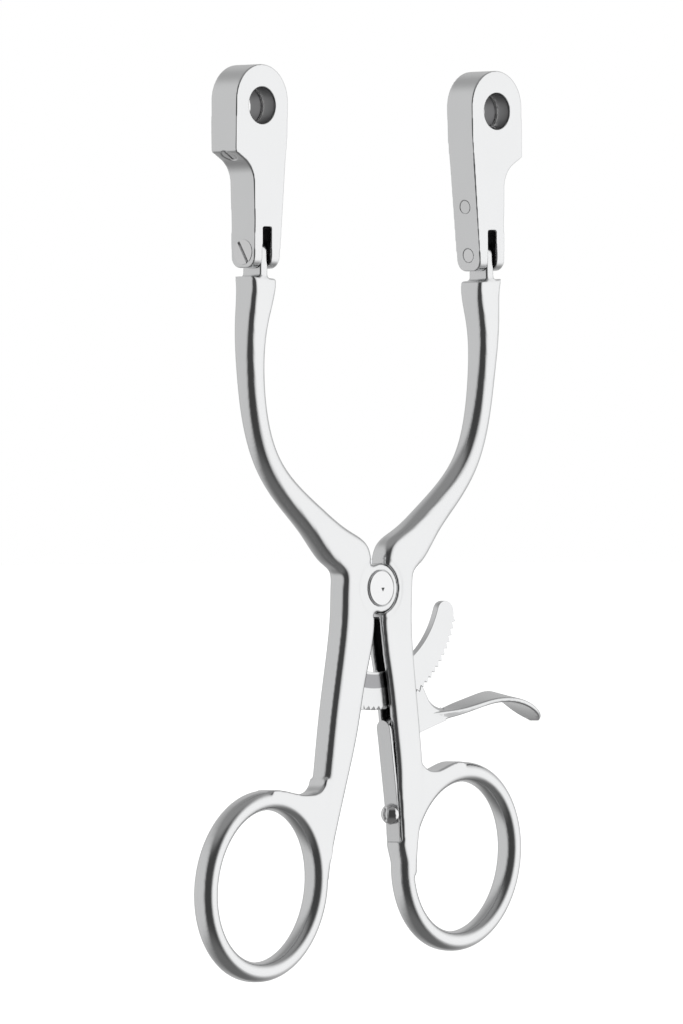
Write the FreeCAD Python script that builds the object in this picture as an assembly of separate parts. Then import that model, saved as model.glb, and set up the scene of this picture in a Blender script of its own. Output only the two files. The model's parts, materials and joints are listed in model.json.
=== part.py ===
import FreeCAD, Part
import math
import os

# A self-retaining ring-handled retractor. Millimetres. X runs across the arms, Z up along them and Y from the
# front face to the back. While it is drawn, the pivot axis is the Y axis and the pieces are centred on Y = 0.
# At the end everything is moved so that the origin is the middle of the underside of the bounding box.

V = FreeCAD.Vector
AXIS_Y = V(0, 1, 0)

# Joint of the two levers
hub_depth = 5.3
lobe_r = 5.05
lobe_gap = 0.18
lap_gap = 0.10
crotch_above = (-14.4, 14.4)
crotch_below = (-7.0, 7.6)
pivot_r = 2.0
pivot_play = 0.05
head_r = 3.65
head_seat = 1.0
head_proud = 0.25
punch_r = 1.2
punch_depth = 0.45

# Levers: stations of the arm, hub and shank are (x, z, lean in degrees, width, depth, corner radius, y).
# The arms bow a little towards the back between their ends.
arm_stations = (
    (34.0, 64.4, -4.5, 6.9, 5.8, 0.8, 0.0),
    (34.6, 56.0, -2.5, 5.9, 5.5, 1.4, 0.4),
    (34.7, 45.0, 4.0, 5.0, 5.0, 1.8, 0.9),
    (33.1, 34.6, 15.0, 5.0, 4.7, 2.0, 1.1),
    (29.7, 26.2, 32.0, 5.2, 4.6, 2.05, 1.1),
    (24.6, 20.2, 46.0, 5.6, 4.7, 2.0, 1.0),
    (16.8, 13.6, 51.0, 6.8, 4.9, 1.9, 0.6),
    (10.6, 8.6, 47.0, 8.8, hub_depth - 0.2, 1.7, 0.2),
    (6.9, 6.0, 36.0, 9.4, hub_depth, 1.5, 0.0),
)
left_shank_stations = (
    (-6.2, 1.6, -18.0, 9.0, hub_depth, 1.6),
    (-6.0, -6.0, 4.0, 9.6, hub_depth, 1.6),
    (-8.4, -18.5, 11.0, 8.8, hub_depth, 1.6),
    (-10.5, -28.5, 11.5, 8.3, hub_depth, 1.6),
    (-12.4, -37.0, 12.5, 7.1, 5.2, 1.6),
    (-14.7, -46.5, 12.5, 5.6, 5.1, 1.6),
    (-16.4, -54.0, 7.0, 4.7, 5.0, 1.7),
    (-17.1, -60.0, 2.0, 4.1, 4.8, 1.8),
)
right_shank_stations = (
    (5.9, 1.6, 18.0, 8.6, hub_depth, 1.1),
    (5.3, -6.0, -1.0, 8.6, hub_depth, 0.9),
    (6.7, -19.0, -6.5, 7.6, hub_depth, 0.8),
    (8.1, -30.0, -6.5, 7.4, hub_depth, 0.9),
    (8.9, -38.0, -3.5, 7.2, hub_depth, 0.9),
    (8.7, -47.0, -1.0, 6.8, 5.2, 1.0),
    (8.6, -53.5, -2.0, 5.6, 5.1, 1.4),
    (9.3, -60.0, -4.0, 4.1, 4.8, 1.8),
)

# Finger rings: ovals of one size, both leaning to the right
ring_long = 18.1
ring_short = 15.9
ring_lean = 25.0
ring_width = 3.9
ring_depth = 5.0
ring_round = 1.9
left_ring_centre = (-33.6, -61.2)
right_ring_centre = (24.9, -56.5)
web_depth = 4.9
left_web_top = ((-32.6, -41.6), (-27.0, -42.0), (-21.0, -42.7), (-18.2, -42.0), (-16.6, -39.4))
left_web_rest = ((-13.5, -39.5), (-15.0, -56.0), (-22.0, -58.0), (-33.0, -46.0))
right_web_top = ((25.6, -36.9), (20.5, -37.4), (16.2, -38.5), (13.6, -37.8), (11.7, -34.6))
right_web_rest = ((9.0, -35.0), (9.6, -46.0), (9.4, -54.0), (12.0, -56.0), (26.0, -41.0))

# Tongue at the top of each arm, and the blade holder that swings on it
arm_top_z = arm_stations[0][1]
arm_top_x = arm_stations[0][0]
tongue_width = 2.2
tongue_depth = 5.2
tongue_play = 0.15
hinge_height = 5.2
tongue_tip_r = tongue_depth / 2
holder_lean = -1.2
bore_above_hinge = 30.2
bore_r = 3.8
bore_groove_deep = 0.4
bore_groove_width = 0.7
bore_chamfer = 0.12
holder_depth = 7.4
holder_foot_depth = 6.7
holder_top = 8.5
holder_half = 7.6
# the slanted face under the block's outer side runs between these two corners, which are rounded
holder_step = (holder_half, -9.7)
holder_crook = (2.2, -12.75)
holder_step_round = 1.0
holder_crook_round = 5.7
holder_leg_z = -23.6
holder_leg_outer = 1.7
holder_leg_inner = 5.7
holder_inner_end_z = -5.0
holder_foot_round = 2.4
foot_below_hinge = 3.3
slot_above_hinge = 5.2
holder_foot_z = -bore_above_hinge - foot_below_hinge
slot_z = slot_above_hinge - bore_above_hinge
hinge_r = 1.4
hinge_play = 0.04
hinge_head_r = 2.6
hinge_head_depth = 1.2
hinge_slot_turn = 58
pin_mouth = 0.1
pin_end_back = 0.06

# Detent plug, spring and ball in the slanted face, and the cross pin
plug_r = 1.6
plug_length = 2.2
plug_slot = 0.55
ball_r = 1.2
ball_play = 0.05
ball_reach = -0.05
detent_spring_r = 1.05
detent_wire_r = 0.2
detent_turns = 3.5
cross_pin_r = 1.35
cross_pin_below = 20.0
cross_pin_skin = 1.2

# Ratchet: bar fixed in the left lever, running through the slot of the right lever
bar_inner_r = 17.4
bar_tip_inner_r = 19.6
bar_outer_r = 25.5
bar_thickness = 1.5
bar_from = -23.0
bar_to = 76.0
tooth_pitch = 3.5
tooth_height = 0.85
tooth_steep = 0.32
teeth_from = -8.0
slot_width = 1.9
slot_top = -6.6
slot_bottom = -32.4
rivet_r = 0.8
rivet_angles = (-15.5, -20.0)
rivet_skin = 1.0

# Release lever
release_x = 7.5
release_z = -26.8
release_thickness = 1.6
release_eye_r = 2.2
release_pin_r = 0.8
release_pin_play = 0.03
release_teeth = 3
release_mid = 30.0
mesh_gap = 0.06
# pawl plate: the hollow side between its teeth and the thumb paddle, and the slope on its front
pawl_side = ((15.3, -21.0), (16.0, -22.2), (17.0, -23.7), (18.6, -24.8), (21.2, -25.4))
pawl_slope = 0.75
# thumb paddle: (x, z, lean, thickness, width across, corner radius, y, twist). The twist lifts its back edge.
paddle_stations = (
    (17.0, -27.3, 72.0, 2.4, 1.4, 0.3, 0.0, 0.0),
    (20.5, -26.7, 74.0, 2.1, 2.0, 0.4, 0.0, 22.0),
    (25.0, -25.7, 75.0, 1.5, 3.4, 0.45, 0.0, 22.0),
    (30.0, -24.5, 76.0, 1.2, 4.6, 0.45, 0.0, 16.0),
    (34.5, -23.5, 80.0, 1.1, 5.6, 0.45, 0.0, 13.0),
    (38.4, -23.2, 93.0, 1.1, 6.8, 0.45, 0.0, 12.0),
    (42.0, -23.9, 108.0, 1.1, 7.8, 0.45, 0.0, 8.0),
    (45.2, -25.4, 120.0, 1.0, 7.8, 0.4, 0.0, 4.0),
    (47.8, -27.0, 125.0, 0.9, 6.0, 0.4, 0.0, 2.0),
    (49.4, -28.2, 128.0, 0.8, 2.6, 0.35, 0.0, 0.0),
)

# Leaf spring and its screw
leaf_width = 3.8
leaf_thickness = 0.6
leaf_low_z = -53.0
leaf_high_z = -27.6
leaf_screw_z = -47.2
leaf_screw_r = 1.0
leaf_screw_length = 3.6
leaf_head_r = 2.15
leaf_head_height = 2.2
leaf_head_rim = 0.7
leaf_slot = 0.55


def turned(x, z, angle):
    """The point x, z turned about the pivot by this many degrees, clockwise as seen from the front."""
    a = math.radians(angle)
    return x * math.cos(a) + z * math.sin(a), z * math.cos(a) - x * math.sin(a)


def at_angle(r, angle, y=0.0):
    """The point at this distance from the pivot and this many degrees to the right of straight down."""
    a = math.radians(angle)
    return V(r * math.sin(a), y, -r * math.cos(a))


def pin(r, start, direction, length):
    return Part.makeCylinder(r, length, start, direction)


def across(r, x, z, y_from, y_to):
    """A cylinder along Y."""
    return pin(r, V(x, y_from, z), AXIS_Y, y_to - y_from)


def slab(edges, y_from, y_to):
    """The outline in the XZ plane, made solid from y_from to y_to."""
    face = Part.Face(Part.Wire(edges))
    face.translate(V(0, y_from, 0))
    return face.extrude(V(0, y_to - y_from, 0))


def flat(points, y_from, y_to):
    """A slab with straight sides through these (x, z) points."""
    corners = [V(x, 0, z) for x, z in points]
    return slab(list(Part.makePolygon([*corners, corners[0]]).Edges), y_from, y_to)


def section(x, z, lean, width, depth, radius, y=0.0, twist=0.0):
    """A rounded rectangle across a limb that runs at this lean from the vertical."""
    a = math.radians(lean)
    side = V(math.cos(a), 0, -math.sin(a))
    t = math.radians(twist)
    wide = side * math.cos(t) + AXIS_Y * math.sin(t)
    deep = AXIS_Y * math.cos(t) - side * math.sin(t)
    centre = V(x, y, z)
    bow = radius * (1 - math.sqrt(0.5))

    def at(u, v):
        return centre + wide * u + deep * v

    edges = []
    for k in range(4):
        h, d = (width / 2, depth / 2) if k % 2 == 0 else (depth / 2, width / 2)
        turn = [(1, 0, 0, 1), (0, -1, 1, 0), (-1, 0, 0, -1), (0, 1, -1, 0)][k]

        def place(p, q, m=turn):
            return at(m[0] * p + m[1] * q, m[2] * p + m[3] * q)

        edges.append(Part.LineSegment(place(h, radius - d), place(h, d - radius)).toShape())
        corner = Part.Arc(place(h, d - radius), place(h - bow, d - bow), place(h - radius, d))
        edges.append(corner.toShape())
    return Part.Wire(edges)


def limb(stations):
    """A smooth bar through the stations."""
    return Part.makeLoft([section(*s) for s in stations], True, False)


def finger_ring(centre):
    """An oval ring with rounded edges."""
    wide = ring_width / 2
    solids = []
    for grow in (wide, -wide):
        oval = Part.Ellipse(V(0, 0, 0), ring_long + grow, ring_short + grow).toShape()
        face = Part.Face(Part.Wire([oval]))
        solids.append(face.extrude(V(0, 0, ring_depth)))
    ring = solids[0].cut(solids[1])
    rims = [e for e in ring.Edges if isinstance(e.Curve, Part.Ellipse)]
    return place_ring(ring.makeFillet(ring_round, rims), ring_depth, centre)


def place_ring(flat_ring, depth, centre):
    """Stands a ring that was drawn lying on Z = 0 upright, leans it and moves it to its centre."""
    ring = flat_ring.copy()
    ring.translate(V(0, 0, -depth / 2))
    ring.rotate(V(0, 0, 0), V(1, 0, 0), 90)
    ring.rotate(V(0, 0, 0), AXIS_Y, ring_lean - 90)
    ring.translate(V(centre[0], 0, centre[1]))
    return ring


def mirrored(stations):
    return tuple((-x, z, -lean, *rest) for x, z, lean, *rest in stations)


def clear_of_other(sign):
    """What the left (-1) or right (+1) lever leaves free for the other one: a wedge about the pivot."""
    reach = 40.0
    side = 0 if sign < 0 else 1
    up = math.radians(crotch_above[side])
    down = math.radians(crotch_below[side])
    points = (
        (0, 0),
        (reach * math.sin(up), reach * math.cos(up)),
        (-sign * reach, reach),
        (-sign * reach, -reach),
        (reach * math.sin(down), -reach * math.cos(down)),
    )
    return flat(points, -holder_depth, holder_depth)


def tongue(sign):
    """The tongue of the right (+1) or left (-1) arm, drawn upright at the arm's top and then leant with it."""
    low = -4.0
    half = tongue_depth / 2
    blade = Part.makeBox(tongue_width, tongue_depth, hinge_height - low, V(-tongue_width / 2, -half, low))
    tip = pin(tongue_tip_r, V(-tongue_width / 2, 0, hinge_height), V(1, 0, 0), tongue_width)
    hole = pin(hinge_r + hinge_play, V(-tongue_width, 0, hinge_height), V(1, 0, 0), 2 * tongue_width)
    shape = blade.fuse(tip).removeSplitter()
    return on_arm(shape, sign), on_arm(hole, sign)


def on_arm(shape, sign):
    """Moves a shape from the tongue's own upright frame, whose origin is the middle of the arm's top."""
    moved = shape.copy()
    moved.rotate(V(0, 0, 0), AXIS_Y, sign * holder_lean)
    moved.translate(V(sign * arm_top_x, 0, arm_top_z))
    return moved


def hinge_point(sign):
    return on_arm(Part.Vertex(0, 0, hinge_height), sign).Point


def web(top, rest, ring_centre):
    """The flat web between a shank and its ring, hollow along its top and kept out of the ring's opening."""
    corners = [V(x, 0, z) for x, z in (top[-1], *rest, top[0])]
    edges = [curve(top)]
    edges += [Part.LineSegment(p, q).toShape() for p, q in zip(corners, corners[1:])]
    slab_of = slab(edges, -web_depth / 2, web_depth / 2)
    oval = Part.Face(Part.Wire([Part.Ellipse(V(0, 0, 0), ring_long, ring_short).toShape()]))
    core = oval.extrude(V(0, 0, 2 * ring_depth))
    return slab_of.cut(place_ring(core, 2 * ring_depth, ring_centre))


def lever(stations, ring_centre, web_top, web_rest, sign):
    """The common shape of both levers. sign is +1 for the right lever and -1 for the left one."""
    body = limb(stations)
    body = body.cut(clear_of_other(sign))
    # the lobe is on the front half of the left lever and the back half of the right one
    side = sign
    lobe_y = sorted((side * lap_gap / 2, side * hub_depth / 2))
    pocket_y = sorted((-side * hub_depth, side * lap_gap / 2))
    lobe = across(lobe_r, 0, 0, *lobe_y)
    body = body.cut(across(lobe_r + lobe_gap, 0, 0, *pocket_y))
    body = body.fuse(lobe)
    body = body.fuse([finger_ring(ring_centre), web(web_top, web_rest, ring_centre)])
    blade, hole = tongue(sign)
    return body.fuse(blade).cut(hole)


def make_left_lever():
    stations = mirrored(arm_stations) + left_shank_stations
    body = lever(stations, left_ring_centre, left_web_top, left_web_rest, -1)
    body = body.cut(across(pivot_r, 0, 0, -hub_depth, hub_depth))
    seat = across(head_r, 0, 0, -hub_depth, head_seat - hub_depth / 2)
    body = body.cut(seat)
    body = body.cut(bar_blank())
    for angle in rivet_angles:
        body = body.cut(rivet(angle))
    return body


def make_right_lever():
    body = lever(arm_stations + right_shank_stations, right_ring_centre, right_web_top, right_web_rest, 1)
    body = body.cut(across(pivot_r + pivot_play, 0, 0, -hub_depth, hub_depth))
    half = slot_width / 2
    slot = flat(((-2, slot_top), (20, slot_top), (20, slot_bottom), (-2, slot_bottom)), -half, half)
    body = body.cut(slot)
    body = body.cut(across(release_pin_r, release_x, release_z, -release_pin_half(), hub_depth))
    body = body.cut(leaf_recess().fuse(leaf_blank()))
    return body.cut(leaf_screw_shank())


def release_pin_half():
    return hub_depth / 2 - rivet_skin


def make_pivot_screw():
    front = -hub_depth / 2
    head = across(head_r, 0, 0, front - head_proud, front + head_seat)
    head = head.makeChamfer(0.15, [e for e in head.Edges if abs(e.BoundBox.YMax - front + head_proud) < 1e-6])
    shank = across(pivot_r, 0, 0, front, hub_depth / 2)
    return head.fuse(shank).removeSplitter().cut(punch(front - head_proud))


def punch(face_y):
    """A three-sided punch mark, as a solid to cut away."""
    apex = V(0.35, face_y + punch_depth, -0.2)
    rim = []
    for k in range(3):
        a = math.radians(30 + 120 * k)
        rim.append(apex + V(punch_r * math.cos(a), -2 * punch_depth, punch_r * math.sin(a)))
    faces = [Part.Face(Part.makePolygon([*rim, rim[0]]))]
    for k in range(3):
        faces.append(Part.Face(Part.makePolygon([apex, rim[k], rim[(k + 1) % 3], apex])))
    return Part.Solid(Part.Shell(faces))


def tooth_line(first, count, tip_r, root_r):
    """Points along a row of ratchet teeth. Each tooth rises on a steep flank that faces the left lever."""
    points = []
    steep = tooth_pitch * tooth_steep
    for k in range(count):
        start = first + k * tooth_pitch
        points.append(at_angle(root_r, start))
        points.append(at_angle(tip_r, start + steep))
    points.append(at_angle(root_r, first + count * tooth_pitch))
    return points


def bar_blank():
    """The part of the bar that is fixed in the left lever, as a plain sector."""
    low = bar_from
    high = teeth_from
    inner = bar_inner_r
    outer = bar_outer_r
    edges = [
        Part.LineSegment(at_angle(inner, low), at_angle(outer, low)).toShape(),
        Part.Arc(at_angle(outer, low), at_angle(outer, (low + high) / 2), at_angle(outer, high)).toShape(),
        Part.LineSegment(at_angle(outer, high), at_angle(inner, high)).toShape(),
        Part.Arc(at_angle(inner, high), at_angle(inner, (low + high) / 2), at_angle(inner, low)).toShape(),
    ]
    half = bar_thickness / 2
    return slab(edges, -half, half)


def make_ratchet_bar():
    count = int((bar_to - teeth_from) / tooth_pitch)
    last = teeth_from + count * tooth_pitch
    root_r = bar_outer_r - tooth_height
    teeth = tooth_line(teeth_from, count, bar_outer_r, root_r)
    mid_r = (bar_tip_inner_r + root_r) / 2
    tip = last + math.degrees((root_r - bar_tip_inner_r) / 2 / mid_r)
    edges = [Part.LineSegment(a, b).toShape() for a, b in zip(teeth, teeth[1:])]
    edges.append(Part.Arc(teeth[-1], at_angle(mid_r, tip), at_angle(bar_tip_inner_r, last)).toShape())
    # the bar gets narrower towards its free end
    middle = at_angle((bar_inner_r + bar_tip_inner_r) / 2 - 0.3, (last + teeth_from) / 2)
    inner = Part.Arc(at_angle(bar_tip_inner_r, last), middle, at_angle(bar_inner_r, teeth_from))
    edges.append(inner.toShape())
    edges.append(Part.LineSegment(at_angle(bar_inner_r, teeth_from), teeth[0]).toShape())
    half = bar_thickness / 2
    toothed = slab(edges, -half, half)
    bar = toothed.fuse(bar_blank()).removeSplitter()
    for angle in rivet_angles:
        bar = bar.cut(rivet(angle))
    return bar


def rivet(angle):
    centre = at_angle((bar_inner_r + bar_outer_r) / 2, angle)
    half = hub_depth / 2
    return across(rivet_r, centre.x, centre.z, rivet_skin - half, half)


def make_ratchet_rivets():
    return Part.makeCompound([rivet(angle) for angle in rivet_angles])


def curve(points):
    """A smooth edge through (x, z) points."""
    line = Part.BSplineCurve()
    line.interpolate([V(x, 0, z) for x, z in points])
    return line.toShape()


def make_release_lever():
    half = release_thickness / 2
    eye = across(release_eye_r, release_x, release_z, -half, half)
    first = release_mid - release_teeth * tooth_pitch / 2
    # the grid of the bar's teeth decides where the pawl's teeth can stand
    first = teeth_from + round((first - teeth_from) / tooth_pitch) * tooth_pitch
    clear_r = bar_outer_r + mesh_gap
    steep = tooth_pitch * tooth_steep
    teeth = [at_angle(clear_r, first - tooth_pitch + steep)]
    teeth += tooth_line(first, release_teeth, clear_r, clear_r - tooth_height)
    teeth.append(at_angle(clear_r, first + release_teeth * tooth_pitch + steep))
    edges = [Part.LineSegment(p, q).toShape() for p, q in zip(teeth, teeth[1:])]
    side = [V(x, 0, z) for x, z in pawl_side]
    edges.append(Part.LineSegment(teeth[-1], side[0]).toShape())
    edges.append(curve(pawl_side))
    rest = [side[-1], V(21.4, 0, -28.0), V(13.0, 0, -30.5), V(9.3, 0, -29.9)]
    rest += [V(release_x - 1.2, 0, release_z - 1.6), V(release_x - 1.9, 0, release_z + 1.3)]
    rest += [V(release_x - 0.6, 0, release_z + release_eye_r), teeth[0]]
    edges += [Part.LineSegment(p, q).toShape() for p, q in zip(rest, rest[1:])]
    plate = slab(edges, -half, half)
    rim = [e for e in plate.Edges if isinstance(e.Curve, Part.BSplineCurve) and e.BoundBox.YMax < 0]
    plate = plate.makeChamfer(pawl_slope, rim)
    tail = flat(((4.3, -30.5), (3.75, -29.8), (3.9, -28.7), (release_x - 1.5, release_z + 1.0),
                 (release_x, release_z - 2.0), (5.4, -30.6)), -half, half)
    body = plate.fuse([eye, tail, limb(paddle_stations)])
    body = body.cut(across(release_pin_r + release_pin_play, release_x, release_z, -half - 1, half + 1))
    return body.removeSplitter()


def make_release_pin():
    return across(release_pin_r, release_x, release_z, -release_pin_half(), hub_depth / 2)


def leaf_path():
    """The outer side of the leaf from its foot to its free end."""
    return ((5.85, leaf_low_z), (5.4, leaf_screw_z), (4.3, -38.5), (3.35, -31.5), (2.75, leaf_high_z))


def leaf_recess():
    """The flat that the leaf's foot lies on, cut into the inner face of the right shank."""
    foot, seat = leaf_path()[:2]
    a = math.atan2(seat[0] - foot[0], seat[1] - foot[1])
    dx, dz = math.sin(a), math.cos(a)
    low = (foot[0] - 0.15 * dx + leaf_thickness * dz, foot[1] - 0.15 * dz - leaf_thickness * dx)
    high = (low[0] + 11.0 * dx, low[1] + 11.0 * dz)
    outline = (low, high, (high[0] - 4 * dz, high[1] + 4 * dx), (low[0] - 4 * dz, low[1] + 4 * dx))
    return flat(outline, -hub_depth, hub_depth)


def leaf_blank():
    half = leaf_width / 2
    points = leaf_path()
    inner = []
    for k, (x, z) in enumerate(points):
        x0, z0 = points[max(k - 1, 0)]
        x1, z1 = points[min(k + 1, len(points) - 1)]
        length = math.hypot(x1 - x0, z1 - z0)
        inner.append((x + (z1 - z0) / length * leaf_thickness, z - (x1 - x0) / length * leaf_thickness))
    ends = [
        Part.LineSegment(V(points[-1][0], 0, points[-1][1]), V(inner[-1][0], 0, inner[-1][1])).toShape(),
        Part.LineSegment(V(inner[0][0], 0, inner[0][1]), V(points[0][0], 0, points[0][1])).toShape(),
    ]
    leaf = slab([curve(points), ends[0], curve(inner[::-1]), ends[1]], -half, half)
    run = leaf_high_z - leaf_low_z
    straight = Part.makeBox(20, leaf_width, run - half, V(-5, -half, leaf_low_z))
    high = pin(half, V(-5, 0, leaf_high_z - half), V(1, 0, 0), 20)
    return leaf.common(straight.fuse(high))


def make_leaf_spring():
    return leaf_blank().cut(leaf_screw_blank())


def leaf_screw_seat():
    """Where the screw's head meets the leaf, and the direction into the lever."""
    foot, seat = leaf_path()[0], leaf_path()[1]
    run = V(seat[0] - foot[0], 0, seat[1] - foot[1])
    run.normalize()
    inward = V(run.z, 0, -run.x)
    return V(seat[0], 0, seat[1]), inward


def leaf_screw_shank():
    seat, inward = leaf_screw_seat()
    return pin(leaf_screw_r, seat - inward * 0.2, inward, leaf_screw_length + 0.2)


def leaf_screw_blank():
    """The dome-headed screw without its slot."""
    seat, inward = leaf_screw_seat()
    rise = leaf_head_height - leaf_head_rim
    dome_r = (leaf_head_r ** 2 + rise ** 2) / (2 * rise)
    ball = Part.makeSphere(dome_r, seat - inward * (leaf_head_height - dome_r))
    head = pin(leaf_head_r, seat - inward * leaf_head_height, inward, leaf_head_height).common(ball)
    return head.fuse(leaf_screw_shank())


def make_leaf_spring_screw():
    seat, inward = leaf_screw_seat()
    cut = Part.makeBox(1.0, leaf_slot, 10, V(-0.5, -leaf_slot / 2, -5))
    cut.translate(seat - inward * (leaf_head_height - 0.05))
    return leaf_screw_blank().cut(cut)


def rounded(before, corner, after, r):
    """The arc of radius r that rounds a corner between two straight sides."""
    to_before = before - corner
    to_after = after - corner
    half_angle = to_before.getAngle(to_after) / 2
    to_before.normalize()
    to_after.normalize()
    reach = r / math.tan(half_angle)
    inward = to_before + to_after
    inward.normalize()
    middle = corner + inward * (r / math.sin(half_angle) - r)
    return Part.Arc(corner + to_before * reach, middle, corner + to_after * reach)


def holder_outline():
    """The holder seen from the front, about the bore's centre, with its outer side on the right."""
    shoulder = V(holder_half, 0, 0.9)
    step = V(holder_step[0], 0, holder_step[1])
    crook = V(holder_crook[0], 0, holder_crook[1])
    leg = V(holder_leg_outer, 0, holder_leg_z)
    outer = rounded(shoulder, step, crook, holder_step_round)
    inner = rounded(step, crook, leg, holder_crook_round)
    corners = [
        leg,
        V(holder_leg_outer, 0, holder_foot_z),
        V(-holder_leg_inner, 0, holder_foot_z),
        V(-holder_half, 0, holder_inner_end_z),
        V(-shoulder.x, 0, shoulder.z),
    ]
    edges = [
        Part.LineSegment(shoulder, outer.StartPoint).toShape(),
        outer.toShape(),
        Part.LineSegment(outer.EndPoint, inner.StartPoint).toShape(),
        inner.toShape(),
        Part.LineSegment(inner.EndPoint, leg).toShape(),
    ]
    edges += [Part.LineSegment(p, q).toShape() for p, q in zip(corners, corners[1:])]
    edges.append(Part.Arc(corners[-1], V(0, 0, holder_top), shoulder).toShape())
    return edges


def detent_axis():
    """The point of the slanted face nearest the bore's centre line, and the direction from it to that line."""
    step = V(holder_step[0], 0, holder_step[1])
    along = V(holder_crook[0], 0, holder_crook[1]) - step
    along.normalize()
    foot = step - along * step.dot(along)
    inward = foot * -1
    inward.normalize()
    return foot, inward


def hinge_in_holder():
    """The hinge's place in the holder's own frame, whose origin is the bore's centre."""
    return V(hinge_centre_x(), 0, -bore_above_hinge)


def hinge_centre_x():
    return (holder_leg_outer - holder_leg_inner) / 2


def make_holder():
    half = holder_depth / 2
    block = slab(holder_outline(), -half, half)
    # both faces lean in towards the foot
    lean = (holder_depth - holder_foot_depth) / 2
    z_hi, z_lo = 0.0, holder_foot_z - 1
    for side in (-1, 1):
        wedge = Part.Face(Part.makePolygon([
            V(-20, side * half, z_hi), V(-20, side * (half - lean), z_lo), V(-20, side * (half + 3), z_lo),
            V(-20, side * half, z_hi)])).extrude(V(40, 0, 0))
        block = block.cut(wedge)
    # the foot is rounded as seen from the side
    foot = holder_foot_depth / 2
    r = holder_foot_round
    bow = r * (1 - math.sqrt(0.5))
    z = holder_foot_z
    for side in (-1, 1):
        y = side * (foot + 0.02)
        corner = Part.Wire([
            Part.Arc(V(-20, y, z + r), V(-20, y - side * bow, z + bow), V(-20, y - side * r, z)).toShape(),
            Part.LineSegment(V(-20, y - side * r, z), V(-20, y - side * r, z - 2)).toShape(),
            Part.LineSegment(V(-20, y - side * r, z - 2), V(-20, y + side * 2, z - 2)).toShape(),
            Part.LineSegment(V(-20, y + side * 2, z - 2), V(-20, y + side * 2, z + r)).toShape(),
            Part.LineSegment(V(-20, y + side * 2, z + r), V(-20, y, z + r)).toShape(),
        ])
        block = block.cut(Part.Face(corner).extrude(V(40, 0, 0)))
    # bore with a ring groove and chamfered mouths
    block = block.cut(across(bore_r, 0, 0, -half - 1, half + 1))
    groove = bore_groove_width / 2
    block = block.cut(across(bore_r + bore_groove_deep, 0, 0, -groove, groove))
    for side in (-1, 1):
        block = block.cut(Part.makeCone(bore_r + 2 * bore_chamfer, bore_r, 2 * bore_chamfer,
                                        V(0, side * (half + bore_chamfer), 0), V(0, -side, 0)))
    # slot for the arm's tongue
    hinge = hinge_in_holder()
    wide = tongue_width + 2 * tongue_play
    slot = Part.makeBox(wide, 20, slot_z - holder_foot_z + 5, V(hinge.x - wide / 2, -10, holder_foot_z - 5))
    block = block.cut(slot)
    block = block.cut(hinge_screw_blank())
    middle, inward = detent_axis()
    block = block.cut(pin(plug_r, middle - inward, inward, plug_length + 1))
    block = block.cut(pin(ball_r + ball_play, middle, inward, -middle.dot(inward)))
    block = block.cut(cross_pin_blank())
    for r, z in ((hinge_r, hinge.z), (cross_pin_r, -cross_pin_below)):
        start = V(inner_face_x(z) - 2 * pin_mouth, 0, z)
        block = block.cut(Part.makeCone(r + 3 * pin_mouth, r, 3 * pin_mouth, start, V(1, 0, 0)))
    return block


def inner_side():
    """Everything beyond the leg's inner face, a little way into it, for the ends of the pins."""
    top, low = holder_inner_end_z, holder_foot_z
    x_top, x_low = inner_face_x(top) + pin_end_back, inner_face_x(low) + pin_end_back
    return flat(((x_top, top), (x_low, low), (x_low - 9, low), (x_top - 9, top)), -holder_depth, holder_depth)


def hinge_screw_blank():
    """The hinge screw without its slots: a countersunk head on the outer face and a shank through the leg."""
    hinge = hinge_in_holder()
    outer = V(holder_leg_outer + 0.05, 0, hinge.z)
    inner_x = inner_face_x(hinge.z) - 1.0
    shank = pin(hinge_r, V(inner_x, 0, hinge.z), V(1, 0, 0), outer.x - inner_x)
    head = Part.makeCone(hinge_head_r, hinge_r, hinge_head_depth, outer, V(-1, 0, 0))
    return shank.fuse(head)


def inner_face_x(z):
    """Where the leg's inner face is at this height, in the holder's own frame."""
    x0, z0 = -holder_leg_inner, holder_foot_z
    x1, z1 = -holder_half, holder_inner_end_z
    return x0 + (x1 - x0) * (z - z0) / (z1 - z0)


def make_hinge_screw():
    hinge = hinge_in_holder()
    screw = hinge_screw_blank().cut(inner_side())
    slot = Part.makeBox(0.5, 10, 0.6, V(holder_leg_outer - 0.45, -5, -0.3))
    slot.rotate(V(0, 0, 0), V(1, 0, 0), hinge_slot_turn)
    slot.translate(V(0, 0, hinge.z))
    return screw.cut(slot)


def cross_pin_blank():
    z = -cross_pin_below
    inner_x = inner_face_x(z) - 1.0
    return pin(cross_pin_r, V(inner_x, 0, z), V(1, 0, 0), holder_leg_outer - cross_pin_skin - inner_x)


def make_cross_pin():
    return cross_pin_blank().cut(inner_side())


def make_detent_screw():
    middle, inward = detent_axis()
    plug = pin(plug_r, middle + inward * 0.1, inward, plug_length - 0.1)
    slot = Part.makeBox(10, plug_slot, 0.6, V(-5, -plug_slot / 2, -0.3))
    slot.rotate(V(0, 0, 0), AXIS_Y, math.degrees(math.atan2(inward.x, inward.z)))
    slot.translate(middle + inward * 0.3)
    return plug.cut(slot)


def ball_centre():
    middle, inward = detent_axis()
    wall = middle.Length - bore_r
    return middle + inward * (wall + ball_reach - ball_r)


def make_detent_ball():
    return Part.makeSphere(ball_r, ball_centre())


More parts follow.
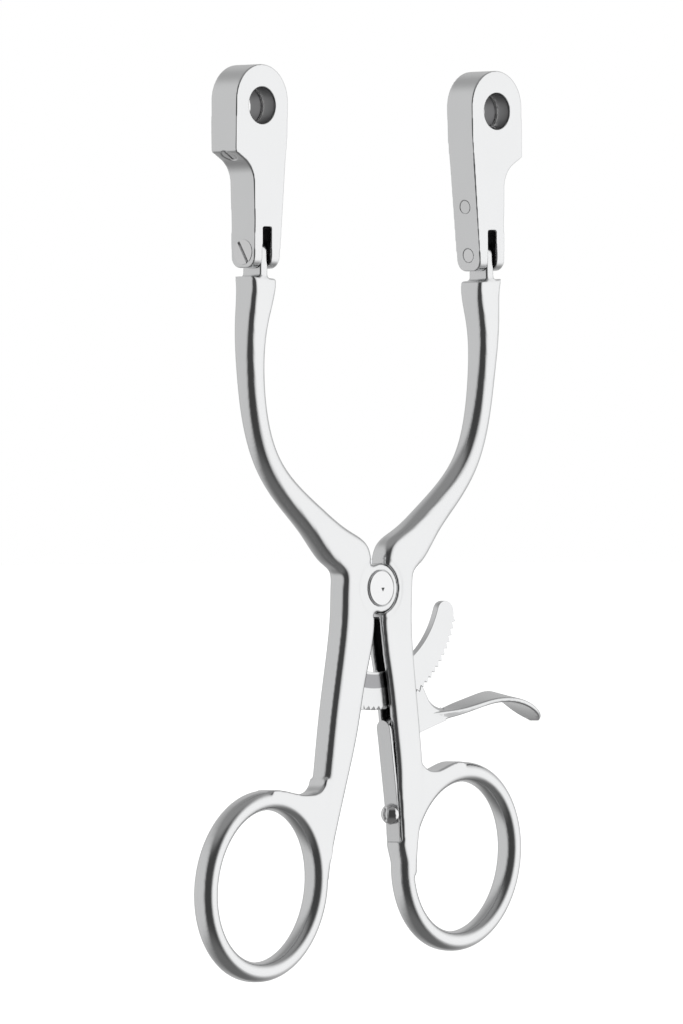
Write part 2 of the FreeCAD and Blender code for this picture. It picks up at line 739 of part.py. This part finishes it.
def make_detent_spring():
    """A short coil between the plug and the ball, drawn as stacked rings joined by the wire's helix."""
    middle, inward = detent_axis()
    start = middle + inward * (plug_length + detent_wire_r + 0.02)
    coil_r = detent_spring_r - detent_wire_r
    rest = math.sqrt((ball_r + detent_wire_r + 0.02) ** 2 - coil_r ** 2)
    room = (ball_centre() - start).dot(inward) - rest
    helix = Part.makeHelix(room / detent_turns, room, coil_r)
    profile = Part.Wire([Part.makeCircle(detent_wire_r, V(coil_r, 0, 0), V(0, 1, 0))])
    coil = Part.Wire(helix.Edges).makePipeShell([profile], True, True)
    coil.rotate(V(0, 0, 0), AXIS_Y, math.degrees(math.atan2(inward.x, inward.z)))
    coil.translate(start)
    return coil


def on_holder(shape, sign):
    """Moves a shape from the holder's own frame to the left (-1) or right (+1) arm."""
    moved = shape.copy()
    hinge = hinge_in_holder()
    moved.translate(V(-hinge.x, 0, -hinge.z))
    if sign < 0:
        moved = moved.mirror(V(0, 0, 0), V(1, 0, 0))
    moved.rotate(V(0, 0, 0), AXIS_Y, sign * holder_lean)
    moved.translate(hinge_point(sign))
    return moved


def build():
    """All nodes by name, with the pivot at the origin."""
    nodes = {
        "left_lever": make_left_lever(),
        "right_lever": make_right_lever(),
        "pivot_screw": make_pivot_screw(),
        "ratchet_bar": make_ratchet_bar(),
        "ratchet_rivets": make_ratchet_rivets(),
        "release_lever": make_release_lever(),
        "release_pin": make_release_pin(),
        "leaf_spring": make_leaf_spring(),
        "leaf_spring_screw": make_leaf_spring_screw(),
    }
    pieces = {
        "blade_holder": make_holder(),
        "hinge_screw": make_hinge_screw(),
        "detent_screw": make_detent_screw(),
        "detent_spring": make_detent_spring(),
        "detent_ball": make_detent_ball(),
        "cross_pin": make_cross_pin(),
    }
    for name, shape in pieces.items():
        nodes["left_" + name] = on_holder(shape, -1)
        nodes["right_" + name] = on_holder(shape, 1)
    return nodes


def main():
    os.makedirs("parts", exist_ok=True)
    nodes = build()
    box = Part.makeCompound(list(nodes.values())).optimalBoundingBox(False, False)
    shift = V(-box.Center.x, 0, -box.ZMin)
    for name, shape in nodes.items():
        shape.translate(shift)
        shape.exportStep("parts/" + name + ".step")
        print(name, shape.isValid(), len(shape.Solids), round(shape.Volume, 2))
    print("pivot at", shift)


if __name__ == "__main__":
    main()
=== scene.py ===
"""Looks of the ring-handled cheek retractor. Metres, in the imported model's frame."""
import json
import math

import bpy
from mathutils import Matrix, Vector


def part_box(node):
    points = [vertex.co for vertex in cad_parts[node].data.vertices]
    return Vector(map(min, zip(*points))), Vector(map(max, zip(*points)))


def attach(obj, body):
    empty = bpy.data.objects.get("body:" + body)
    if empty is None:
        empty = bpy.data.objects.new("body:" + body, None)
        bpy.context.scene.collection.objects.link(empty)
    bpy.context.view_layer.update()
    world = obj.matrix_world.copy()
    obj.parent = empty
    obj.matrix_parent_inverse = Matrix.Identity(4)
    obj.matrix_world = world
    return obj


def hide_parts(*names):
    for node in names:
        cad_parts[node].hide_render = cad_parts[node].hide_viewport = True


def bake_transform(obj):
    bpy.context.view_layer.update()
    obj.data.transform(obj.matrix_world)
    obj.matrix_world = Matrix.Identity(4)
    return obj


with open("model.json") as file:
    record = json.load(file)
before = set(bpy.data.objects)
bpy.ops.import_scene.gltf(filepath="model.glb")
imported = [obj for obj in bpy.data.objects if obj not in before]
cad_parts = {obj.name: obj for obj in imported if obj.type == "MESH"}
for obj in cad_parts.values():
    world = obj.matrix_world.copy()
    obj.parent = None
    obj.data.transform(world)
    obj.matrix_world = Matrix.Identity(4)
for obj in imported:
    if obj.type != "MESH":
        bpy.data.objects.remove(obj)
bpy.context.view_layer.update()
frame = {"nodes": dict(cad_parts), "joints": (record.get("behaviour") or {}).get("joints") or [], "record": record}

MM = 0.001
record = frame["record"]
pivot = Vector(next(j["pos_m"] for j in frame["joints"] if j["name"] == "lever_pivot"))

# Skins of the forged levers and the milled holders, in millimetres and rounds of polishing
lever_grain = 0.30
lever_polish = 14
lever_put_back = 0.13
holder_grain = 0.20
holder_polish = 5
machined_polish = 3
hub_radius = 6.5
tongue_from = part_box("left_blade_holder")[0].z - 2.3 * MM

# Edges of the machined pieces, by the angle between faces
flat_within = math.radians(0.4)
eased_over = math.radians(28.0)
shaded_smooth_under = math.radians(32.0)

# Slot of the right lever, which the ratchet bar runs through
slot_low = pivot.z - 33.4 * MM
slot_high = pivot.z - 6.0 * MM
slot_wall = 1.2 * MM
slot_rim = 1.3 * MM

# Bore and tongue slot of a blade holder, in millimetres from the bore's axis
bore_skin = 0.08
groove_reach = 0.6
groove_half = 0.5
holder_lean = math.radians(-1.2)
tongue_slot_below = 24.6
tongue_slot_inward = 2.0
tongue_slot_half = 1.4
tongue_slot_deep = 3.0

# Painted shade on the ratchet bar: a dark band standing in for the dark reflection between the levers, by distance
# from the pivot
band_from = 17.9 * MM
band_to = 21.0 * MM
band_left_of = 7.0 * MM
band_fade = 0.2 * MM
band_end_fade = 1.0 * MM

# Brightness of the tent between its layers, and of what the camera sees behind the piece
tent_level = 0.55
backdrop_level = 1.0

# Camera: a long lens, level, from the left of the front face
camera_azimuth = math.radians(-46.0)
camera_distance = 2.6
camera_roll = math.radians(0.45)
view_height = 213.3 * MM
centre_left_of_pivot = 6.2 * MM
centre_above_pivot = 15.9 * MM
sensor = 36.0 * MM


# ---------------------------------------------------------------- materials

def new_material(name):
    """A new material with its nodes and links."""
    material = bpy.data.materials.new(name)
    material.use_nodes = True
    return material, material.node_tree.nodes, material.node_tree.links


def steel(name, colour, roughness, grain, grain_scale, dull=0.0, stretch=(1.0, 1.0, 1.0)):
    """Stainless steel: soft roughness patches, a fine grain in the surface, and faint dull marks."""
    material, nodes, links = new_material(name)
    shader = nodes["Principled BSDF"]
    shader.inputs["Metallic"].default_value = 1.0
    place = nodes.new("ShaderNodeTexCoord")
    mapping = nodes.new("ShaderNodeMapping")
    mapping.inputs["Scale"].default_value = stretch
    links.new(place.outputs["Object"], mapping.inputs["Vector"])

    patches = nodes.new("ShaderNodeTexNoise")
    patches.inputs["Scale"].default_value = 130.0
    patches.inputs["Detail"].default_value = 4.0
    links.new(place.outputs["Object"], patches.inputs["Vector"])
    rough = nodes.new("ShaderNodeMapRange")
    rough.inputs["From Min"].default_value = 0.3
    rough.inputs["From Max"].default_value = 0.7
    rough.inputs["To Min"].default_value = roughness * 0.88
    rough.inputs["To Max"].default_value = roughness * 1.12
    links.new(patches.outputs["Fac"], rough.inputs["Value"])
    links.new(rough.outputs["Result"], shader.inputs["Roughness"])

    tint = nodes.new("ShaderNodeMix")
    tint.data_type = "RGBA"
    tint.inputs["A"].default_value = (*[c * (1.0 - dull) for c in colour], 1.0)
    tint.inputs["B"].default_value = (*colour, 1.0)
    links.new(patches.outputs["Fac"], tint.inputs["Factor"])
    links.new(tint.outputs["Result"], shader.inputs["Base Color"])

    fine = nodes.new("ShaderNodeTexNoise")
    fine.inputs["Scale"].default_value = grain_scale
    fine.inputs["Detail"].default_value = 2.0
    links.new(mapping.outputs["Vector"], fine.inputs["Vector"])
    bump = nodes.new("ShaderNodeBump")
    bump.inputs["Strength"].default_value = grain
    bump.inputs["Distance"].default_value = 0.02 * MM
    links.new(fine.outputs["Fac"], bump.inputs["Height"])
    links.new(bump.outputs["Normal"], shader.inputs["Normal"])
    return material


def paint_shade_band(material):
    """A band of painted shade on the bar, between two distances from the pivot and next to the left lever."""
    nodes, links = material.node_tree.nodes, material.node_tree.links
    place = nodes.new("ShaderNodeTexCoord")
    from_pivot = nodes.new("ShaderNodeVectorMath")
    from_pivot.operation = "SUBTRACT"
    from_pivot.inputs[1].default_value = pivot
    links.new(place.outputs["Object"], from_pivot.inputs[0])
    in_plane = nodes.new("ShaderNodeVectorMath")
    in_plane.operation = "MULTIPLY"
    in_plane.inputs[1].default_value = (1.0, 0.0, 1.0)
    links.new(from_pivot.outputs["Vector"], in_plane.inputs[0])
    distance = nodes.new("ShaderNodeVectorMath")
    distance.operation = "LENGTH"
    links.new(in_plane.outputs["Vector"], distance.inputs[0])
    axes = nodes.new("ShaderNodeSeparateXYZ")
    links.new(from_pivot.outputs["Vector"], axes.inputs["Vector"])
    limits = (
        (distance.outputs["Value"], band_from, band_from + band_fade),
        (distance.outputs["Value"], band_to, band_to - band_fade),
        (axes.outputs["X"], band_left_of, band_left_of - band_end_fade),
    )
    amount = None
    for value, zero_at, one_at in limits:
        ramp = nodes.new("ShaderNodeMapRange")
        ramp.inputs["From Min"].default_value = zero_at
        ramp.inputs["From Max"].default_value = one_at
        links.new(value, ramp.inputs["Value"])
        if amount is None:
            amount = ramp.outputs["Result"]
            continue
        both = nodes.new("ShaderNodeMath")
        both.operation = "MULTIPLY"
        links.new(amount, both.inputs[0])
        links.new(ramp.outputs["Result"], both.inputs[1])
        amount = both.outputs["Value"]
    shader = nodes["Principled BSDF"]
    unshaded_colour = shader.inputs["Base Color"].links[0].from_socket
    # painted shade: inside the band the bar's own colour is mixed towards dark grey
    painted_shade = nodes.new("ShaderNodeMix")
    painted_shade.data_type = "RGBA"
    painted_shade.inputs["B"].default_value = (0.36, 0.36, 0.37, 1.0)
    links.new(amount, painted_shade.inputs["Factor"])
    links.new(unshaded_colour, painted_shade.inputs["A"])
    links.new(painted_shade.outputs["Result"], shader.inputs["Base Color"])


bright = (0.80, 0.805, 0.81)
finishes_and_painted_light = {
    "lever_steel": steel("satin lever steel", bright, 0.20, 0.20, 5200.0, 0.05),
    "holder_steel": steel("satin holder steel", bright, 0.19, 0.22, 5200.0, 0.05),
    "ratchet_steel": steel("ground ratchet steel", bright, 0.20, 0.3, 1800.0, 0.06, (1.0, 1.0, 3.0)),
    "spring_steel": steel(
        "rolled spring steel", (0.74, 0.745, 0.75), 0.22, 0.25, 2600.0, 0.06, (1.0, 6.0, 1.0)
    ),
    "screw_steel": steel("polished screw steel", (0.82, 0.82, 0.825), 0.12, 0.12, 4200.0, 0.04),
    "pin_steel": steel("turned pin steel", (0.78, 0.785, 0.79), 0.20, 0.2, 3800.0, 0.05),
    # painted light: the bores' walls and the slots are painted dark as shade, the bores' ring grooves bright as a
    # highlight
    "bore_steel": steel("painted shade in bores", (0.30, 0.30, 0.305), 0.38, 0.3, 3000.0, 0.08),
    "slot_steel": steel("painted shade in slots", (0.06, 0.06, 0.062), 0.45, 0.3, 3000.0, 0.08),
    "groove_steel": steel("painted highlight in groove", (0.95, 0.95, 0.95), 0.6, 0.1, 3000.0, 0.02),
    "ball_steel": steel("polished ball steel", (0.84, 0.84, 0.845), 0.06, 0.05, 3000.0, 0.02),
}
paint_shade_band(finishes_and_painted_light["ratchet_steel"])


# ---------------------------------------------------------------- pieces

def only(piece):
    """Selects one object and makes it the active one."""
    bpy.ops.object.select_all(action="DESELECT")
    piece.select_set(True)
    bpy.context.view_layer.objects.active = piece


def merged_copy(node):
    """The node's own shape as one joined mesh, in a new object."""
    piece = bpy.data.objects.new(node + "_finished", frame["nodes"][node].data.copy())
    bpy.context.scene.collection.objects.link(piece)
    only(piece)
    bpy.ops.object.mode_set(mode="EDIT")
    bpy.ops.mesh.select_all(action="SELECT")
    bpy.ops.mesh.remove_doubles(threshold=0.0005 * MM)
    bpy.ops.object.mode_set(mode="OBJECT")
    return piece


def take_place(piece, node):
    """Makes the piece ride with the node's body, in place of the node. The leaf spring is not attached to a body.
    """
    if node != "leaf_spring":
        body = next(b for b, members in record["behaviour"]["bodies"].items() if node in members)
        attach(piece, body)
    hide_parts(node)


def eased(node, edge):
    """A machined piece: flat faces kept flat, sharp edges eased."""
    piece = merged_copy(node)
    bpy.ops.object.mode_set(mode="EDIT")
    bpy.ops.mesh.select_all(action="SELECT")
    bpy.ops.mesh.dissolve_limited(angle_limit=flat_within)
    bpy.ops.object.mode_set(mode="OBJECT")
    if edge:
        easing = piece.modifiers.new("eased edges", "BEVEL")
        easing.width = edge * MM
        easing.segments = 3
        easing.limit_method = "ANGLE"
        easing.angle_limit = eased_over
        easing.use_clamp_overlap = False
        bpy.ops.object.modifier_apply(modifier=easing.name)
    bpy.ops.object.shade_smooth_by_angle(angle=shaded_smooth_under)
    shading = piece.modifiers.new("even shading", "WEIGHTED_NORMAL")
    shading.keep_sharp = True
    bpy.ops.object.modifier_apply(modifier=shading.name)
    take_place(piece, node)
    return piece


def polished_skin(piece, name, members, rounds):
    """Smooths the listed vertices, and so rounds off their edges."""
    group = piece.vertex_groups.new(name=name)
    group.add(members, 1.0, "REPLACE")
    polish = piece.modifiers.new(name, "SMOOTH")
    polish.factor = 0.5
    polish.iterations = rounds
    polish.vertex_group = name
    bpy.ops.object.modifier_apply(modifier=polish.name)


def one_skin(piece, grain):
    """Turns the piece into one even skin of small faces."""
    blank = piece.modifiers.new("one skin", "REMESH")
    blank.mode = "VOXEL"
    blank.voxel_size = grain * MM
    blank.use_smooth_shade = True
    only(piece)
    bpy.ops.object.modifier_apply(modifier=blank.name)


def tumbled(node):
    """A blade holder: milled, then its edges tumbled."""
    piece = merged_copy(node)
    one_skin(piece, holder_grain)
    polished_skin(piece, "tumbled", [v.index for v in piece.data.vertices], holder_polish)
    piece.vertex_groups.clear()
    take_place(piece, node)
    return piece


def forged(node):
    """A lever: forged in one, so that limb, web and ring run into each other, then polished all over."""
    piece = merged_copy(node)
    one_skin(piece, lever_grain)
    crisp = []
    soft = []
    outside = []
    for vertex in piece.data.vertices:
        place = vertex.co
        near_pivot = math.hypot(place.x - pivot.x, place.z - pivot.z) < hub_radius * MM
        if near_pivot or place.z > tongue_from:
            crisp.append(vertex.index)
            continue
        soft.append(vertex.index)
        if abs(place.y) > slot_rim or not slot_low < place.z < slot_high:
            outside.append(vertex.index)
    polished_skin(piece, "machined", crisp, machined_polish)
    polished_skin(piece, "polished", soft, lever_polish)
    # the polishing above takes a little off all round, which this puts back
    group = piece.vertex_groups.new(name="outside")
    group.add(outside, 1.0, "REPLACE")
    full = piece.modifiers.new("full size", "DISPLACE")
    full.strength = lever_put_back * MM
    full.mid_level = 0.0
    full.vertex_group = "outside"
    bpy.ops.object.modifier_apply(modifier=full.name)
    piece.vertex_groups.clear()
    take_place(piece, node)
    return piece


def paint(piece, painted_light_key, inside):
    """A second material, of painted shade or painted highlight, on the faces whose middle is inside, such as a
    bore's wall.
    """
    piece.data.materials.append(finishes_and_painted_light[painted_light_key])
    second = len(piece.data.materials) - 1
    for face in piece.data.polygons:
        if inside(face.center, face.normal):
            face.material_index = second


def in_ring(centre, axis, low, high):
    """Whether a place is between two distances from an axis along Y."""
    return low * MM < math.hypot(centre.x - axis.x, centre.z - axis.z) < high * MM


def in_tongue_slot(centre, normal, bore_axis):
    """Whether a face belongs to the slot in a holder's foot that the arm's tongue swings in."""
    side = math.copysign(1.0, bore_axis.x)
    below = (bore_axis.z - centre.z) / MM
    middle = bore_axis.x - side * (tongue_slot_inward + below * math.sin(holder_lean)) * MM
    deep = below > tongue_slot_below and abs(centre.y) < tongue_slot_deep * MM
    return deep and abs(centre.x - middle) < tongue_slot_half * MM and abs(normal.y) < 0.5


def in_lever_slot(centre, normal):
    """Whether a face belongs to the slot of the right lever."""
    return slot_low < centre.z < slot_high and abs(centre.y) < slot_wall


def paint_holder(holder, axis, bore_r):
    """Gives the bore's wall and the tongue's slot painted shade, and the bore's ring groove a painted highlight.
    """
    wall = bore_r + bore_skin

    def in_bore(centre, normal):
        return in_ring(centre, axis, 0.0, wall) and abs(normal.y) < 0.5

    # the ring groove inside the bore takes a painted highlight
    def in_groove(centre, normal):
        return in_ring(centre, axis, wall, bore_r + groove_reach) and abs(centre.y) < groove_half * MM

    # the tongue's slot takes painted shade
    def in_slot(centre, normal):
        return in_tongue_slot(centre, normal, axis)

    # painted shade on the bore's wall and in the tongue's slot, a painted highlight in the ring groove
    paint(holder, "bore_steel", in_bore)
    paint(holder, "groove_steel", in_groove)
    paint(holder, "slot_steel", in_slot)


slots = {s["node"]: s["material_slot"] for s in record["subparts"]}
# width of each machined piece's eased edges, in millimetres
edges = {
    "pivot_screw": 0.08, "ratchet_bar": 0.10, "release_lever": 0.14,
    "leaf_spring": 0.10, "leaf_spring_screw": 0.08, "release_pin": 0.06, "ratchet_rivets": 0.06,
    "hinge_screw": 0.06, "detent_screw": 0.06, "cross_pin": 0.06,
    "detent_ball": 0.0, "detent_spring": 0.0,
}
pieces = {}
for node in frame["nodes"]:
    kind = node if node in edges else node.split("_", 1)[1]
    if kind == "lever":
        piece = forged(node)
    elif kind == "blade_holder":
        piece = tumbled(node)
    else:
        piece = eased(node, edges[kind])
    piece.data.materials.clear()
    piece.data.materials.append(finishes_and_painted_light[slots[node]])
    pieces[node] = piece

for mount in record["mounts"]:
    if mount["kind"] == "bore":
        holder = pieces[mount["name"].replace("blade_bore", "blade_holder")]
        paint_holder(holder, Vector(mount["pos_m"]), mount["dims"]["r_mm"])
# painted shade on the walls of the right lever's slot
paint(pieces["right_lever"], "slot_steel", in_lever_slot)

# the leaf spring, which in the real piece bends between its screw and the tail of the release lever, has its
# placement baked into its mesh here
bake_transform(pieces["leaf_spring"])

for node, cad in frame["nodes"].items():
    cad.data.materials.clear()
    cad.data.materials.append(finishes_and_painted_light[slots[node]])


# ---------------------------------------------------------------- studio

def studio_floor():
    """A pale floor just below the foot of the piece, which doesn't show in its reflections."""
    bpy.ops.mesh.primitive_plane_add(size=30.0, location=(0.0, 0.0, -0.5 * MM))
    floor = bpy.context.object
    floor.name = "studio_floor"
    material, nodes, links = new_material("pale floor")
    shader = nodes["Principled BSDF"]
    shader.inputs["Base Color"].default_value = (0.9, 0.9, 0.9, 1.0)
    shader.inputs["Roughness"].default_value = 0.9
    shader.inputs["Emission Color"].default_value = (1.0, 1.0, 1.0, 1.0)
    shader.inputs["Emission Strength"].default_value = 0.85
    floor.data.materials.append(material)
    floor.visible_glossy = False


def lobe(nodes, links, direction, towards, low, high):
    """How near a direction lies to another one, from 0 at the cosine low to 1 at the cosine high."""
    dot = nodes.new("ShaderNodeVectorMath")
    dot.operation = "DOT_PRODUCT"
    dot.inputs[1].default_value = towards
    links.new(direction, dot.inputs[0])
    ramp = nodes.new("ShaderNodeMapRange")
    ramp.interpolation_type = "SMOOTHSTEP"
    ramp.inputs["From Min"].default_value = low
    ramp.inputs["From Max"].default_value = high
    links.new(dot.outputs["Value"], ramp.inputs["Value"])
    return ramp.outputs["Result"]


def studio_light():
    """A white tent: brightest to the camera's right, dark behind the camera, dim above and below."""
    world = bpy.data.worlds.new("tent")
    bpy.context.scene.world = world
    world.use_nodes = True
    nodes, links = world.node_tree.nodes, world.node_tree.links
    background = nodes["Background"]
    direction = nodes.new("ShaderNodeTexCoord").outputs["Generated"]
    a = camera_azimuth
    to_camera = (math.sin(a), -math.cos(a), 0.0)
    right_front = (math.cos(a), math.sin(a), 0.0)
    left_back = (-math.cos(a), -math.sin(a), 0.0)
    level = None
    # direction, cosine where the layer starts, cosine where it is full, brightness
    layers = (
        (to_camera, -0.2, 0.35, 0.06),
        (right_front, 0.55, 1.0, 1.12),
        (left_back, 0.45, 0.90, 0.68),
        ((0.0, 0.0, 1.0), 0.55, 0.9, 0.30),
        ((0.0, 0.0, -1.0), 0.40, 0.9, 0.16),
    )
    for towards, low, high, value in layers:
        mix = nodes.new("ShaderNodeMix")
        mix.data_type = "FLOAT"
        mix.inputs["A"].default_value = tent_level
        if level is not None:
            links.new(level, mix.inputs["A"])
        mix.inputs["B"].default_value = value
        links.new(lobe(nodes, links, direction, towards, low, high), mix.inputs["Factor"])
        level = mix.outputs["Result"]
    seen = nodes.new("ShaderNodeLightPath")
    direct = nodes.new("ShaderNodeMix")
    direct.data_type = "FLOAT"
    direct.inputs["B"].default_value = backdrop_level
    links.new(level, direct.inputs["A"])
    links.new(seen.outputs["Is Camera Ray"], direct.inputs["Factor"])
    links.new(direct.outputs["Result"], background.inputs["Strength"])
    background.inputs["Color"].default_value = (1.0, 1.0, 1.0, 1.0)


def camera():
    """The camera, level with its target and rolled a little."""
    a = camera_azimuth
    back = Vector((math.sin(a), -math.cos(a), 0.0))
    right = Vector((math.cos(a), math.sin(a), 0.0))
    up = Vector((0.0, 0.0, 1.0))
    target = pivot - right * centre_left_of_pivot + up * centre_above_pivot
    data = bpy.data.cameras.new("camera")
    data.sensor_width = sensor / MM
    data.lens = sensor / MM * camera_distance / view_height
    data.clip_start = 0.05
    data.clip_end = 100.0
    eye = bpy.data.objects.new("camera", data)
    bpy.context.scene.collection.objects.link(eye)
    x = right * math.cos(camera_roll) - up * math.sin(camera_roll)
    y = up * math.cos(camera_roll) + right * math.sin(camera_roll)
    turn = Matrix((x, y, back)).transposed().to_4x4()
    eye.matrix_world = Matrix.Translation(target + back * camera_distance) @ turn
    bpy.context.scene.camera = eye


studio_floor()
studio_light()
camera()
bpy.context.scene.view_settings.view_transform = "Standard"
